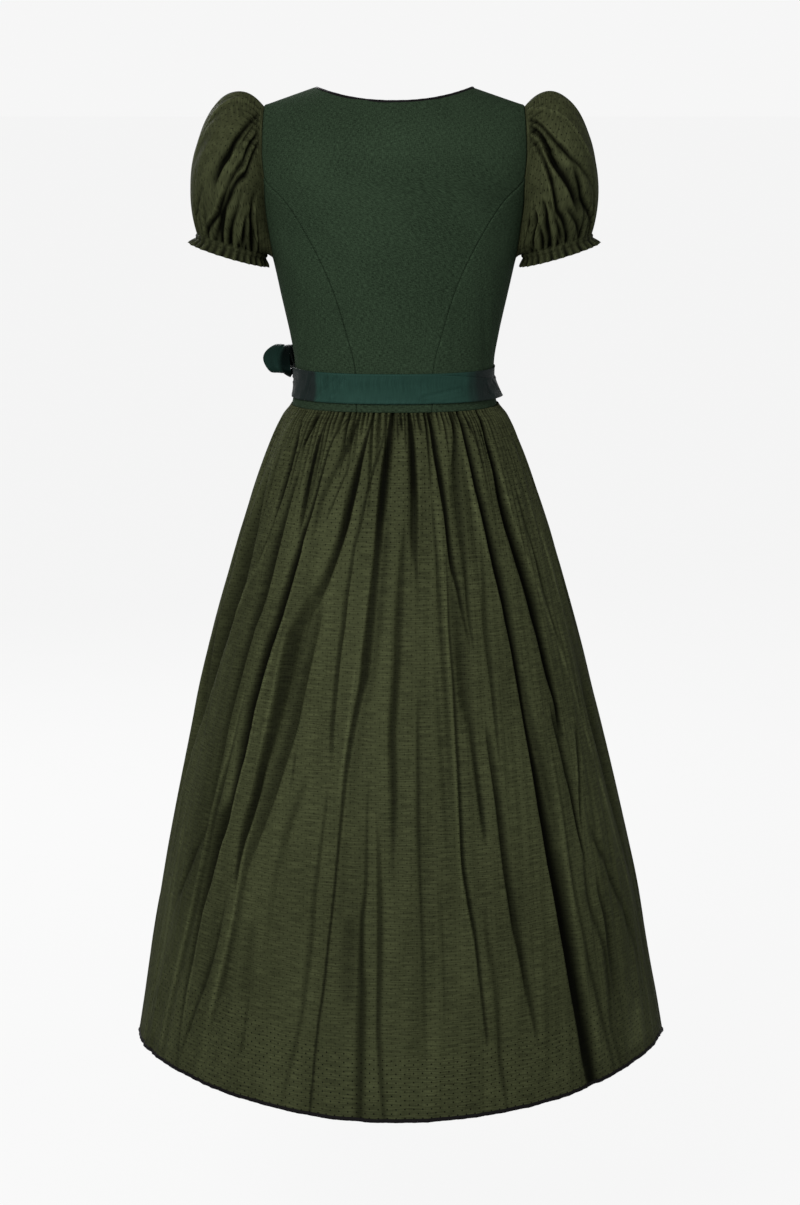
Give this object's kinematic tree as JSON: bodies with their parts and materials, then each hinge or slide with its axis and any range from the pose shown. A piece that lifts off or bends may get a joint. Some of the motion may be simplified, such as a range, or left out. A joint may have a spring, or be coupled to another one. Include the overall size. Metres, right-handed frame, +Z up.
{
  "type": "dirndl dress",
  "caption": "Worn-form folk dress: fitted panelled bodice, short gathered puff sleeves, ribbon belt tied in a side bow, full gathered skirt with an apron.",
  "frame": {"origin": "midway between the shoulders at the height of the neck points, where the wearer's shoulders hold the dress", "axes": "+Z up along the wearer, the front of the dress faces -Y, +X is the wearer's left"},
  "size_m": [0.6656, 0.6644, 1.1866],
  "materials": {
    "bodice_linen": "matt slub weave",
    "skirt_cotton": "soft satin cotton with small dots",
    "black_trim": "matt binding",
    "shot_ribbon": "shot taffeta"
  },
  "bodies": {
    "root": {"bodice_back_centre": "bodice_linen", "bodice_side_back_left": "bodice_linen", "bodice_side_back_right": "bodice_linen", "bodice_side_front_left": "bodice_linen", "bodice_side_front_right": "bodice_linen", "bodice_front_left": "bodice_linen", "bodice_front_right": "bodice_linen", "sleeve_left": "skirt_cotton", "sleeve_right": "skirt_cotton", "skirt_back": "skirt_cotton", "skirt_front": "skirt_cotton", "apron": "skirt_cotton", "neck_piping": "black_trim", "hem_binding_back": "black_trim", "hem_binding_front": "black_trim", "apron_waistband": "shot_ribbon", "ribbon_inner": "shot_ribbon", "ribbon_outer": "shot_ribbon", "bow_knot": "shot_ribbon", "bow_loop_back": "shot_ribbon", "bow_loop_front": "shot_ribbon", "bow_tail_back": "shot_ribbon", "bow_tail_front": "shot_ribbon"}
  },
  "joints": []
}
